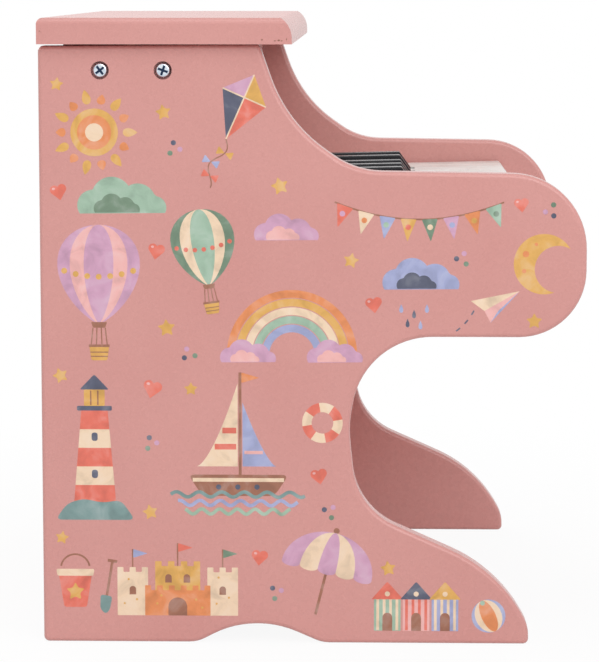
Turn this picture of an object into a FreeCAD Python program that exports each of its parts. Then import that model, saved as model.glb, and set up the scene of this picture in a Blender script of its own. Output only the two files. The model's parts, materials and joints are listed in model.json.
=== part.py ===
import FreeCAD, Part
import math
import os

# A small upright toy piano: a painted board case, eighteen wooden keys on one steel rod, and behind
# the front panel a plain action in which each key lifts a hammer against a steel tone bar.
# X runs along the keyboard with the low notes at -X, the player sits at -Y, Z is up.
# The floor is at zero, and the part is centred over the origin in X and Y. Lengths are millimetres.

Vec = FreeCAD.Vector
os.makedirs("parts", exist_ok=True)

# Notes, in the groups that share black keys evenly
low_group = ["c", "c_sharp", "d", "d_sharp", "e"]
high_group = ["f", "f_sharp", "g", "g_sharp", "a", "a_sharp", "b"]
key_groups = [low_group, high_group, low_group, ["f"]]

# Keys
white_pitch = 24.0
key_gap = 1.0
keyboard_end_gap = 2.0
white_front_reach = 129.2
black_front_reach = 78.8
notch_gap = 2.0
key_tail_reach = 65.0
key_above_pivot = 6.6
key_below_pivot = 7.0
key_edge_r = 0.5
key_nose_r = 2.0
black_rise = 9.0
black_cap_width = 11.0
black_side_lean = 0.9
black_front_lean = 6.1
black_edge_r = 0.9
key_rest_tilt = 1.3
key_dip = 3.0

# Rods that the keys and the hammers turn on
key_rod_d = 4.0
hammer_rod_d = 3.0
rod_play = 0.15
rod_in_panel = 7.5
rod_end_gap = 0.5
rod_seat_play = 0.1

# Case boards
side_thickness = 12.0
board_thickness = 9.0
bed_thickness = 12.0
back_thickness = 5.0
panel_edge_r = 2.0
panel_corner_r = 2.5
cheek_overhang = 27.8
tail_room = 15.0
back_inset = 11.0
groove_depth = 4.0
groove_end_gap = 0.5
groove_play = 0.1
back_floor_gap = 12.0
knee_floor_gap = 10.0
knee_setback = 11.0

# Side panel outline: heights
cheek_bottom_z = 144.9
bed_rise = 13.1
pivot_rise = 30.0
cheek_top_rise = 21.8
cheek_top_fall = 1.6
scroll_drop_share = 0.608
knee_back_z_share = 0.71
instep_z_share = 0.441
toe_top_z_share = 0.2367
toe_front_z_share = 0.0573
arch_apex_z = 13.8

# Side panel outline: distances ahead of the key rod, or behind it for the arch's back
panel_reveal = 8.8
scroll_upper_ahead = 18.2
scroll_lower_ahead = 50.0
knee_top_ahead = 55.3
knee_back_ahead = 47.1
instep_ahead = 51.4
toe_top_ahead = 118.0
toe_front_ahead = 131.7
arch_front_ahead = 35.0
arch_apex_ahead = 3.0
arch_back_behind = 23.5

# Side panel outline: radii of its bends
scroll_upper_r = 68.0
scroll_lower_r = 39.0
cheek_top_r = 35.0
cheek_bottom_r = 31.0
knee_top_r = 37.4
knee_back_r = 62.4
instep_r = 33.8
toe_top_r = 74.0
toe_front_r = 18.0
arch_end_r = 16.0
arch_apex_r = 46.0
tangent_limit_share = 0.99

# Lid
lid_thickness = 12.1
lid_end_overhang = 5.0
lid_front_overhang = 15.2
lid_lip = 2.7
lid_nose_run = 5.2
lid_edge_r = 3.0
lid_side_gap = 0.8
lid_front_gap = 0.15
lid_over_pins = 0.7

# Front panel and music ledge
front_panel_over_keys = 5.0
cap_panel_gap = 2.0
ledge_over_keys = 26.0
ledge_depth = 9.0
ledge_thickness = 6.0
ledge_lip = 2.0
ledge_lip_depth = 2.5
ledge_length = 220.0
ledge_edge_r = 0.8

# Key slip, felts and rails under the keys
slip_setback = 2.0
felt_thickness = 2.3
stop_gap = 0.3
rest_gap = 0.25
spring_ahead = 40.0
spring_rail_depth = 16.0
spring_rail_height = 10.0
spring_pocket = 3.0
spring_d = 7.0
spring_wall = 0.8
spring_play = 0.6
rest_rail_depth = 12.0
rest_rail_inset = 1.0

# Hammers, measured from their own rod
hammer_behind = 18.0
hammer_rise = 15.0
hammer_ratio = 2.6
hub_r = 4.5
hub_gap = 0.8
hub_panel_gap = 1.5
arm_width = 6.0
shank_depth = 5.0
foot_behind = 12.0
foot_r = 2.5
foot_gap = 0.28
head_behind = 38.5
head_r = 4.5
head_length = 10.8
strike_rise = 60.5
strike_gap = 0.9

# Tone bars, their rails, felts and pins
rail_head_gap = 1.4
rail_depth = 10.0
rail_height = 12.0
bar_felt = 1.5
bar_width = 10.0
bar_thickness = 2.5
bar_long = 52.0
bar_short = 46.0
bar_room = 1.0
pin_d = 1.8
pin_bar_play = 0.4
pin_rail_play = 0.1
pin_screw_wall = 0.8
pin_end_gap = 0.3
pin_head_d = 3.8
pin_head_thickness = 1.0
pin_head_gap = 0.3

# Side screws
screw_head_d = 7.0
screw_head_height = 2.6
screw_head_r = 1.3
screw_sink = 0.6
screw_d = 3.5
screw_length = 25.0
screw_play = 0.1
counterbore_play = 1.4
recess_arm = 4.8
recess_width = 1.1
recess_depth = 1.5
screw_turns = (20.0, 52.0)

# Dowels
dowel_d = 5.0
dowel_play = 0.1
dowel_end_gap = 0.5
dowel_in_panel = 8.0
dowel_in_board = 12.0
lid_dowel_down = 11.0
lid_dowel_up = 8.0
lid_dowel_behind = 8.0
ledge_dowel_half = 6.0
ledge_dowel_d = 3.0
front_dowel_shares = (0.25, 0.75)
knee_dowel_shares = (0.2, 0.8)
bed_dowel_shares = (0.12, 0.5, 0.9)
slip_dowel_shares = (0.5,)
ledge_dowel_shares = (-0.3, 0.3)

# Cuts run this far past the faces that they open
overrun = 1.0

# Widths
white_count = sum(1 for group in key_groups for note in group if "sharp" not in note)
keyboard_width = white_count * white_pitch
inner_half = keyboard_width / 2 + keyboard_end_gap
outer_half = inner_half + side_thickness
lid_half = outer_half + lid_end_overhang

# Angles of the keys at rest and when pressed, and the hammers' swing
rest_angle = math.radians(key_rest_tilt)
press_angle = math.radians(key_dip - key_rest_tilt)
swing_angle = math.radians(key_dip * hammer_ratio)

# Sweep of the hammer heads behind the key rod, with the two rails that they pass between
head_lift = strike_rise - strike_gap - head_r - head_behind * math.sin(swing_angle)
head_rise = head_lift / math.cos(swing_angle)
sweep_back = hammer_behind + head_behind + head_r
head_struck = head_behind * math.cos(swing_angle) - head_rise * math.sin(swing_angle)
sweep_front = hammer_behind + head_struck - head_r
front_rail_behind = sweep_front - rail_head_gap - rail_depth / 2
back_rail_behind = sweep_back + rail_head_gap + rail_depth / 2
strike_behind = (front_rail_behind + back_rail_behind) / 2

# Depths, from the key rod towards the front and the back
inner_reach = max(key_tail_reach + tail_room, strike_behind + bar_long / 2 + bar_room)
back_reach = inner_reach + back_thickness + back_inset
front_reach = white_front_reach + cheek_overhang
pivot_y = (front_reach - back_reach) / 2
white_front_y = pivot_y - white_front_reach
key_tail_y = pivot_y + key_tail_reach
back_front_y = pivot_y + inner_reach
back_back_y = back_front_y + back_thickness
panel_back_y = back_back_y + back_inset
cheek_front_y = white_front_y - cheek_overhang
hammer_y = pivot_y + hammer_behind
front_back_y = hammer_y - hub_r - hub_panel_gap
front_front_y = front_back_y - board_thickness
panel_top_front_y = front_front_y - panel_reveal
knee_front_y = pivot_y - knee_back_ahead + knee_setback
slip_front_y = white_front_y + slip_setback
slip_back_y = slip_front_y + board_thickness
strike_y = pivot_y + strike_behind
rail_ys = (pivot_y + front_rail_behind, pivot_y + back_rail_behind)

# Heights
bed_bottom_z = cheek_bottom_z + bed_rise
bed_top_z = bed_bottom_z + bed_thickness
pivot_z = bed_top_z + pivot_rise
cheek_top_z = pivot_z + cheek_top_rise
hammer_z = pivot_z + hammer_rise
strike_z = hammer_z + strike_rise
rail_top_z = strike_z - bar_felt
rail_mid_z = rail_top_z - rail_height / 2
pin_end_z = rail_mid_z + (screw_d + screw_play) / 2 + pin_screw_wall
bar_top_z = strike_z + bar_thickness
lid_bottom_z = bar_top_z + pin_head_gap + pin_head_thickness + lid_over_pins
lid_top_z = lid_bottom_z + lid_thickness
panel_top_z = lid_bottom_z - lid_side_gap
panel_front_top_z = lid_bottom_z - lid_front_gap
front_bottom_z = pivot_z + key_above_pivot + front_panel_over_keys
ledge_bottom_z = pivot_z + key_above_pivot + ledge_over_keys

# Heights that follow the keys' underside at rest and when pressed
slip_reach = pivot_y - slip_front_y
stop_drop = slip_reach * math.tan(press_angle) + key_below_pivot / math.cos(press_angle)
slip_felt_top_z = pivot_z - stop_drop - stop_gap
rest_rail_back_y = key_tail_y - rest_rail_inset
rest_rail_front_y = rest_rail_back_y - rest_rail_depth
rest_reach = rest_rail_back_y - pivot_y
rest_drop = rest_reach * math.tan(rest_angle) + key_below_pivot / math.cos(rest_angle)
rest_felt_top_z = pivot_z - rest_drop - rest_gap
spring_y = pivot_y - spring_ahead
spring_lift = (spring_ahead - spring_d / 2) * math.tan(rest_angle)
spring_top_z = pivot_z + spring_lift - key_below_pivot / math.cos(rest_angle) - rest_gap
spring_rail_top_z = bed_top_z + spring_rail_height
spring_floor_z = spring_rail_top_z - spring_pocket


def block(x_span, y_span, z_span):
    corner = Vec(x_span[0], y_span[0], z_span[0])
    size = [span[1] - span[0] for span in (x_span, y_span, z_span)]
    return Part.makeBox(*size, corner)


def round_bar(start, end, diameter):
    """A cylinder between two points."""
    path = end - start
    return Part.makeCylinder(diameter / 2, path.Length, start, path)


def cut_all(shape, tools):
    return shape.cut(tools) if tools else shape


def join(shapes):
    return shapes[0].multiFuse(shapes[1:]).removeSplitter()


def save(name, shapes):
    shape = shapes[0] if len(shapes) == 1 else Part.makeCompound(shapes)
    shape.exportStep("parts/" + name + ".step")
    print(name, len(shapes), "solids", round(shape.Volume, 1), "mm3", shape.isValid())


def rounded_outline(corners):
    """A closed wire through corners of (point, radius), with a tangent arc at each corner.

    Where two arcs would meet on one side, both are made smaller by the same share.
    """
    count = len(corners)
    points = [point for point, radius in corners]
    ways = [(points[(i + 1) % count] - points[i]).normalize() for i in range(count)]
    sides = [(points[(i + 1) % count] - points[i]).Length for i in range(count)]
    turns = [ways[i - 1].getAngle(ways[i]) for i in range(count)]
    reach = [corners[i][1] * math.tan(turns[i] / 2) for i in range(count)]
    fits = [tangent_limit_share * sides[i] / (reach[i] + reach[(i + 1) % count]) for i in range(count)]
    edges = []
    for i in range(count):
        length = reach[i] * min(1, fits[i - 1], fits[i])
        start = points[i] - ways[i - 1] * length
        end = points[i] + ways[i] * length
        radius = length / math.tan(turns[i] / 2)
        inward = (ways[i] - ways[i - 1]).normalize()
        middle = points[i] + inward * (radius / math.cos(turns[i] / 2) - radius)
        edges.append((start, Part.Arc(start, middle, end).toShape(), end))
    loop = []
    for i in range(count):
        loop.append(edges[i][1])
        loop.append(Part.LineSegment(edges[i][2], edges[(i + 1) % count][0]).toShape())
    return Part.Wire(loop)


def panel_outline(x):
    """The side panel's outline in the plane at x, from its back foot round to the arch."""
    scroll_z = panel_top_z - scroll_drop_share * (panel_top_z - cheek_top_z)
    toe_y = pivot_y - toe_front_ahead
    corners = [
        (panel_back_y, 0, panel_corner_r),
        (panel_back_y, panel_top_z, panel_corner_r),
        (panel_top_front_y, panel_front_top_z, panel_corner_r),
        (pivot_y - scroll_upper_ahead, scroll_z, scroll_upper_r),
        (pivot_y - scroll_lower_ahead, cheek_top_z, scroll_lower_r),
        (cheek_front_y, cheek_top_z - cheek_top_fall, cheek_top_r),
        (cheek_front_y, cheek_bottom_z, cheek_bottom_r),
        (pivot_y - knee_top_ahead, cheek_bottom_z, knee_top_r),
        (pivot_y - knee_back_ahead, knee_back_z_share * cheek_bottom_z, knee_back_r),
        (pivot_y - instep_ahead, instep_z_share * cheek_bottom_z, instep_r),
        (pivot_y - toe_top_ahead, toe_top_z_share * cheek_bottom_z, toe_top_r),
        (toe_y, toe_front_z_share * cheek_bottom_z, toe_front_r),
        (toe_y, 0, panel_corner_r),
        (pivot_y - arch_front_ahead, 0, arch_end_r),
        (pivot_y - arch_apex_ahead, arch_apex_z, arch_apex_r),
        (pivot_y + arch_back_behind, 0, arch_end_r),
    ]
    return rounded_outline([(Vec(x, y, z), radius) for y, z, radius in corners])


def board_dowels():
    """Places of the dowels that hold the boards between the side panels, as (y, z)."""
    front_mid_y = (front_front_y + front_back_y) / 2
    knee_mid_y = knee_front_y + board_thickness / 2
    slip_mid_y = (slip_front_y + slip_back_y) / 2
    bed_mid_z = bed_bottom_z + bed_thickness / 2
    front_height = lid_bottom_z - front_bottom_z
    knee_height = bed_bottom_z - knee_floor_gap
    bed_depth = back_front_y - slip_back_y
    slip_height = slip_felt_top_z - felt_thickness - bed_bottom_z
    places = [(front_mid_y, front_bottom_z + share * front_height) for share in front_dowel_shares]
    places += [(knee_mid_y, knee_floor_gap + share * knee_height) for share in knee_dowel_shares]
    places += [(slip_back_y + share * bed_depth, bed_mid_z) for share in bed_dowel_shares]
    places += [(slip_mid_y, bed_bottom_z + share * slip_height) for share in slip_dowel_shares]
    return places


def dowel_ends():
    """Start, end and diameter of every dowel in the case."""
    ends = []
    for side in (-1, 1):
        for y, z in board_dowels():
            start = Vec(side * (inner_half + dowel_in_panel), y, z)
            ends.append((start, Vec(side * (inner_half - dowel_in_board), y, z), dowel_d))
        for y in (front_back_y + lid_dowel_behind, strike_y):
            start = Vec(side * (inner_half + side_thickness / 2), y, lid_bottom_z - lid_dowel_down)
            ends.append((start, start + Vec(0, 0, lid_dowel_down + lid_dowel_up), dowel_d))
    for share in ledge_dowel_shares:
        x = share * ledge_length
        z = ledge_bottom_z + ledge_thickness / 2
        start = Vec(x, front_front_y - ledge_dowel_half, z)
        ends.append((start, Vec(x, front_front_y + ledge_dowel_half, z), ledge_dowel_d))
    return ends


def dowel_holes():
    """The holes for all the dowels, a little wider and longer than they are."""
    holes = []
    for start, end, diameter in dowel_ends():
        spare = (end - start).normalize() * dowel_end_gap
        holes.append(round_bar(start - spare, end + spare, diameter + dowel_play))
    return holes


def side_panel(side):
    """One side of the case, with its scroll, knee curve, foot arch, rod seats and screw holes."""
    low_x, high_x = sorted((side * inner_half, side * outer_half))
    panel = Part.Face(panel_outline(low_x)).extrude(Vec(side_thickness, 0, 0))
    rims = [edge for edge in panel.Edges if edge.BoundBox.XLength < panel_edge_r]
    panel = panel.makeFillet(panel_edge_r, rims)
    cuts = dowel_holes()
    seat = rod_in_panel + rod_end_gap
    for y, z, diameter in ((pivot_y, pivot_z, key_rod_d), (hammer_y, hammer_z, hammer_rod_d)):
        start = Vec(side * (inner_half - overrun), y, z)
        end = Vec(side * (inner_half + seat), y, z)
        cuts.append(round_bar(start, end, diameter + rod_seat_play))
    for y in rail_ys:
        outside = Vec(side * (outer_half + overrun), y, rail_mid_z)
        floor = Vec(side * (outer_half - screw_sink - screw_head_height), y, rail_mid_z)
        inside = Vec(side * (inner_half - overrun), y, rail_mid_z)
        cuts.append(round_bar(outside, floor, screw_head_d + counterbore_play))
        cuts.append(round_bar(outside, inside, screw_d + screw_play))
    groove_x = sorted((side * (inner_half - overrun), side * (inner_half + groove_depth)))
    groove_y = (back_front_y - groove_play, back_back_y + groove_play)
    cuts.append(block(groove_x, groove_y, (back_floor_gap, panel_top_z + overrun)))
    return cut_all(panel, cuts)


def lid():
    """The lid board, with a rounded nose along its front edge."""
    front_y = panel_top_front_y - lid_front_overhang
    back_y = panel_back_y
    nose_rise = lid_thickness - lid_lip
    nose_r = (lid_nose_run**2 + nose_rise**2) / (2 * lid_nose_run)
    half_rise = math.asin(nose_rise / nose_r) / 2
    lip_z = lid_bottom_z + lid_lip
    mid_y = front_y + nose_r * (1 - math.cos(half_rise))
    mid_z = lip_z + nose_r * math.sin(half_rise)
    back_bottom = Vec(-lid_half, back_y, lid_bottom_z)
    front_bottom = Vec(-lid_half, front_y, lid_bottom_z)
    lip = Vec(-lid_half, front_y, lip_z)
    nose_top = Vec(-lid_half, front_y + lid_nose_run, lid_top_z)
    back_top = Vec(-lid_half, back_y, lid_top_z)
    nose = Part.Arc(lip, Vec(-lid_half, mid_y, mid_z), nose_top).toShape()
    sides = [
        Part.LineSegment(back_bottom, front_bottom).toShape(),
        Part.LineSegment(front_bottom, lip).toShape(),
        nose,
        Part.LineSegment(nose_top, back_top).toShape(),
        Part.LineSegment(back_top, back_bottom).toShape(),
    ]
    board = Part.Face(Part.Wire(sides)).extrude(Vec(2 * lid_half, 0, 0))
    rims = [edge for edge in board.Edges if on_lid_rim(edge, nose_top.y)]
    return cut_all(board.makeFillet(lid_edge_r, rims), dowel_holes())


def on_lid_rim(edge, nose_top_y):
    """True for the top edges along the lid's two ends and its back."""
    box = edge.BoundBox
    at_top = box.ZMin > lid_top_z - lid_edge_r
    return at_top and (box.YMax > nose_top_y + lid_edge_r)


def front_panel():
    panel = block((-inner_half, inner_half), (front_front_y, front_back_y), (front_bottom_z, lid_bottom_z))
    return cut_all(panel, dowel_holes())


def music_ledge():
    """A shelf with a low lip, to hold song sheets against the front panel."""
    front_y = front_front_y - ledge_depth
    top_z = ledge_bottom_z + ledge_thickness
    span = (-ledge_length / 2, ledge_length / 2)
    shelf = block(span, (front_y, front_front_y), (ledge_bottom_z, top_z))
    lip = block(span, (front_y, front_y + ledge_lip_depth), (top_z, top_z + ledge_lip))
    ledge = join([shelf, lip])
    nose = [edge for edge in ledge.Edges if edge.BoundBox.YMax < front_y + ledge_edge_r]
    return cut_all(ledge.makeFillet(ledge_edge_r, nose), dowel_holes())


def back_panel():
    half = inner_half + groove_depth - groove_end_gap
    return block((-half, half), (back_front_y, back_back_y), (back_floor_gap, lid_bottom_z))


def lower_panel():
    """The board under the keyboard, set back behind the knee curve."""
    span = (knee_front_y, knee_front_y + board_thickness)
    return cut_all(block((-inner_half, inner_half), span, (knee_floor_gap, bed_bottom_z)), dowel_holes())


def key_bed():
    bed = block((-inner_half, inner_half), (slip_back_y, back_front_y), (bed_bottom_z, bed_top_z))
    return cut_all(bed, dowel_holes())


def key_slip():
    """The board under the front ends of the keys."""
    top_z = slip_felt_top_z - felt_thickness
    slip = block((-inner_half, inner_half), (slip_front_y, slip_back_y), (bed_bottom_z, top_z))
    return cut_all(slip, dowel_holes())


def key_felts():
    """The felt that stops a pressed key, and the felt that a key's tail rests on."""
    span = (-inner_half, inner_half)
    stop = block(span, (slip_front_y, slip_back_y), (slip_felt_top_z - felt_thickness, slip_felt_top_z))
    rest_span = (rest_rail_front_y, rest_rail_back_y)
    rest = block(span, rest_span, (rest_felt_top_z - felt_thickness, rest_felt_top_z))
    return [stop, rest]


def back_rest_rail():
    top_z = rest_felt_top_z - felt_thickness
    return block((-inner_half, inner_half), (rest_rail_front_y, rest_rail_back_y), (bed_top_z, top_z))


def spring_rail():
    """The rail that carries one spring under each key, in a shallow pocket."""
    span = (spring_y - spring_rail_depth / 2, spring_y + spring_rail_depth / 2)
    rail = block((-inner_half, inner_half), span, (bed_top_z, spring_rail_top_z))
    pockets = []
    for key in keys:
        floor = Vec(key["x"], spring_y, spring_floor_z)
        pockets.append(round_bar(floor, floor + Vec(0, 0, spring_pocket + overrun), spring_d + spring_play))
    return rail.cut(pockets)


def key_springs():
    """The return springs, each drawn as the sleeve that its coils fill."""
    springs = []
    for key in keys:
        floor = Vec(key["x"], spring_y, spring_floor_z)
        top = Vec(key["x"], spring_y, spring_top_z)
        spare = Vec(0, 0, overrun)
        sleeve = round_bar(floor, top, spring_d)
        springs.append(sleeve.cut(round_bar(floor - spare, top + spare, spring_d - 2 * spring_wall)))
    return springs


def panel_rod(y, z, diameter):
    half = inner_half + rod_in_panel
    return round_bar(Vec(-half, y, z), Vec(half, y, z), diameter)


def key_layout():
    """One entry for each key: its name, its tail's slot and, for a white key, its head's span."""
    layout = []
    start_x = -keyboard_width / 2
    for group in key_groups:
        whites = sum(1 for note in group if "sharp" not in note)
        slot = whites * white_pitch / len(group)
        white_x = start_x
        for i, note in enumerate(group):
            tail = (start_x + i * slot, start_x + (i + 1) * slot)
            name = "{:02d}_{}".format(len(layout) + 1, note)
            key = {"name": name, "tail": tail, "x": sum(tail) / 2, "head": None}
            if "sharp" not in note:
                key["head"] = (white_x, white_x + white_pitch)
                white_x += white_pitch
            layout.append(key)
        start_x += whites * white_pitch
    return layout


def inset(span):
    return (span[0] + key_gap / 2, span[1] - key_gap / 2)


def white_key(key):
    """A white key lying level: a wide head, and a tail that passes between the black keys."""
    heights = (pivot_z - key_below_pivot, pivot_z + key_above_pivot)
    notch_y = pivot_y - black_front_reach - notch_gap
    head = block(inset(key["head"]), (white_front_y, notch_y), heights)
    tail = block(inset(key["tail"]), (notch_y, key_tail_y), heights)
    body = join([head, tail])
    nose = [edge for edge in body.Edges if on_key_nose(edge, heights[1])]
    body = body.makeFillet(key_nose_r, nose)
    rims = [edge for edge in body.Edges if on_key_rim(edge, heights[1])]
    return body.makeFillet(key_edge_r, rims)


def on_key_nose(edge, top_z):
    """True for the top edge at a level key's front end."""
    box = edge.BoundBox
    return box.ZMin > top_z - key_edge_r and box.YMax < white_front_y + key_edge_r


def on_key_rim(edge, top_z):
    """True for the edges that run back along the top of a level key from its rounded nose."""
    box = edge.BoundBox
    from_nose = box.YMin < white_front_y + key_nose_r + key_edge_r
    return box.XLength < key_edge_r and box.ZMax > top_z - key_edge_r and from_nose


def rectangle(x_span, y_span, z):
    x0, x1 = x_span
    y0, y1 = y_span
    points = [Vec(x0, y0, z), Vec(x1, y0, z), Vec(x1, y1, z), Vec(x0, y1, z)]
    return Part.makePolygon(points + points[:1])


def black_key(key):
    """A black key lying level: a plain body and a raised cap with leaning sides and front."""
    front_y = pivot_y - black_front_reach
    top_z = pivot_z + key_above_pivot
    cap_top_z = top_z + black_rise
    cap_back_y = front_front_y - cap_panel_gap
    body = block(inset(key["tail"]), (front_y, key_tail_y), (pivot_z - key_below_pivot, top_z))
    half = black_cap_width / 2
    half_top = half - black_side_lean
    foot = rectangle((key["x"] - half, key["x"] + half), (front_y, cap_back_y), top_z)
    crown_y = (front_y + black_front_lean, cap_back_y)
    crown = rectangle((key["x"] - half_top, key["x"] + half_top), crown_y, cap_top_z)
    cap = Part.makeLoft([foot, crown], True, True)
    rims = [edge for edge in cap.Edges if edge.BoundBox.ZMin > cap_top_z - black_edge_r]
    return join([body, cap.makeFillet(black_edge_r, rims)])


def keyed(shape):
    """Bores a level key for its rod, and tilts it to its rest angle, front end up."""
    half = inner_half + overrun
    bore = round_bar(Vec(-half, pivot_y, pivot_z), Vec(half, pivot_y, pivot_z), key_rod_d + rod_play)
    bored = shape.cut(bore)
    bored.rotate(Vec(0, pivot_y, pivot_z), Vec(1, 0, 0), -key_rest_tilt)
    return bored


def strut(x, start, end, depth):
    """A flat bar of the arms' width from one (y, z) place to another."""
    low = Vec(x - arm_width / 2, start[0], start[1])
    high = Vec(x - arm_width / 2, end[0], end[1])
    across = Vec(1, 0, 0).cross(high - low).normalize() * (depth / 2)
    points = [low - across, high - across, high + across, low + across]
    return Part.Face(Part.makePolygon(points + points[:1])).extrude(Vec(arm_width, 0, 0))


def hammer(key):
    """A hammer at rest: a hub on the rod, a foot on the key's tail and a head under its tone bar."""
    foot_reach = hammer_behind + foot_behind
    foot_height = (key_above_pivot + foot_r + foot_gap) / math.cos(rest_angle)
    foot_z = pivot_z + foot_height - foot_reach * math.tan(rest_angle)
    pivot = (hammer_y, hammer_z)
    foot = (hammer_y + foot_behind, foot_z)
    head = (hammer_y + head_behind, hammer_z + head_rise)
    neck = (head[0], head[1] - head_length)
    x = key["x"]
    half_arm = Vec(arm_width / 2, 0, 0)
    half_hub = Vec((key["tail"][1] - key["tail"][0] - hub_gap) / 2, 0, 0)
    centre = Vec(x, *pivot)
    foot_centre = Vec(x, *foot)
    head_centre = Vec(x, *head)
    neck_centre = Vec(x, *neck)
    body = join([
        round_bar(centre - half_hub, centre + half_hub, 2 * hub_r),
        strut(x, pivot, foot, 2 * foot_r),
        round_bar(foot_centre - half_arm, foot_centre + half_arm, 2 * foot_r),
        strut(x, pivot, neck, shank_depth),
        round_bar(neck_centre - half_arm, neck_centre + half_arm, 2 * head_r),
        strut(x, neck, head, 2 * head_r),
        round_bar(head_centre - half_arm, head_centre + half_arm, 2 * head_r),
    ])
    return body.cut(round_bar(centre - 2 * half_hub, centre + 2 * half_hub, hammer_rod_d + rod_play))


def bar_length(i):
    return bar_long + (bar_short - bar_long) * i / (len(keys) - 1)


def pin_places():
    """The (x, y) of every tone bar pin: two for each bar, on the middle lines of the rails."""
    return [(key["x"], y) for key in keys for y in rail_ys]


def pin_holes(play):
    bottom_z = pin_end_z - pin_end_gap
    top_z = bar_top_z + overrun
    return [round_bar(Vec(x, y, bottom_z), Vec(x, y, top_z), pin_d + play) for x, y in pin_places()]


def tone_rails():
    """Two rails across the case that carry the tone bars, held at their ends by the side screws."""
    rails = []
    for y in rail_ys:
        span = (y - rail_depth / 2, y + rail_depth / 2)
        rail = block((-inner_half, inner_half), span, (rail_top_z - rail_height, rail_top_z))
        cuts = pin_holes(pin_rail_play)
        for side in (-1, 1):
            start = Vec(side * (inner_half + overrun), y, rail_mid_z)
            end = Vec(side * (outer_half - screw_sink - screw_length - overrun), y, rail_mid_z)
            cuts.append(round_bar(start, end, screw_d + screw_play))
        rails.append(rail.cut(cuts))
    return rails


def tone_bar_felts():
    felts = []
    for y in rail_ys:
        span = (y - rail_depth / 2, y + rail_depth / 2)
        felt = block((-inner_half, inner_half), span, (rail_top_z, strike_z))
        felts.append(felt.cut(pin_holes(pin_bar_play)))
    return felts


def tone_bars():
    """Steel bars, long for the low notes and short for the high ones."""
    bars = []
    for i, key in enumerate(keys):
        half = bar_length(i) / 2
        x_span = (key["x"] - bar_width / 2, key["x"] + bar_width / 2)
        bar = block(x_span, (strike_y - half, strike_y + half), (strike_z, bar_top_z))
        bars.append(bar.cut(pin_holes(pin_bar_play)[2 * i:2 * i + 2]))
    return bars


def tone_bar_pins():
    pins = []
    head_z = bar_top_z + pin_head_gap
    for x, y in pin_places():
        shank = round_bar(Vec(x, y, pin_end_z), Vec(x, y, head_z + pin_head_thickness), pin_d)
        head = round_bar(Vec(x, y, head_z), Vec(x, y, head_z + pin_head_thickness), pin_head_d)
        pins.append(join([shank, head]))
    return pins


def screw(turn):
    """A pan-head screw along +X from the middle of its head's outer face, with a cross recess."""
    start = Vec(0, 0, 0)
    head = round_bar(start, Vec(screw_head_height, 0, 0), screw_head_d)
    rim = [edge for edge in head.Edges if edge.BoundBox.XMax < screw_head_r]
    head = head.makeFillet(screw_head_r, rim)
    body = join([head, round_bar(Vec(screw_head_r, 0, 0), Vec(screw_length, 0, 0), screw_d)])
    long_span = (-recess_arm / 2, recess_arm / 2)
    short_span = (-recess_width / 2, recess_width / 2)
    depth = (-overrun, recess_depth)
    body = body.cut([block(depth, long_span, short_span), block(depth, short_span, long_span)])
    body.rotate(start, Vec(1, 0, 0), turn)
    return body


def side_screws():
    screws = []
    for side in (-1, 1):
        for y, turn in zip(rail_ys, screw_turns):
            placed = screw(turn)
            if side > 0:
                placed.rotate(Vec(0, 0, 0), Vec(0, 0, 1), 180)
            placed.translate(Vec(side * (outer_half - screw_sink), y, rail_mid_z))
            screws.append(placed)
    return screws


def dowel_pins():
    return [round_bar(start, end, diameter) for start, end, diameter in dowel_ends()]


keys = key_layout()

save("left_side_panel", [side_panel(-1)])
save("right_side_panel", [side_panel(1)])
save("lid", [lid()])
save("front_panel", [front_panel()])
save("music_ledge", [music_ledge()])
save("back_panel", [back_panel()])
save("lower_panel", [lower_panel()])
save("key_bed", [key_bed()])
save("key_slip", [key_slip()])
save("key_felts", key_felts())
save("back_rest_rail", [back_rest_rail()])
save("spring_rail", [spring_rail()])
save("key_springs", key_springs())
save("key_pivot_rod", [panel_rod(pivot_y, pivot_z, key_rod_d)])
save("hammer_rod", [panel_rod(hammer_y, hammer_z, hammer_rod_d)])
save("tone_rails", tone_rails())
save("tone_bar_felts", tone_bar_felts())
save("tone_bars", tone_bars())
save("tone_bar_pins", tone_bar_pins())
save("side_screws", side_screws())
save("dowel_pins", dowel_pins())
for key in keys:
    level_key = white_key(key) if key["head"] else black_key(key)
    save("key_" + key["name"], [keyed(level_key)])
    save("hammer_" + key["name"], [hammer(key)])
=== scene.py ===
# %% [markdown]
# # A small upright toy piano
#
# The real piano is a box of painted board: two shaped side panels, a lid, a few panels between them and
# a row of wooden keys. Its pieces come ready made, at their true size and place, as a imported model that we
# only dress. So this lesson is about finishes, printed decoration, light and the camera. Loading the model
# first means that every later size can be read from it, and nothing has to be fitted by eye.

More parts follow.
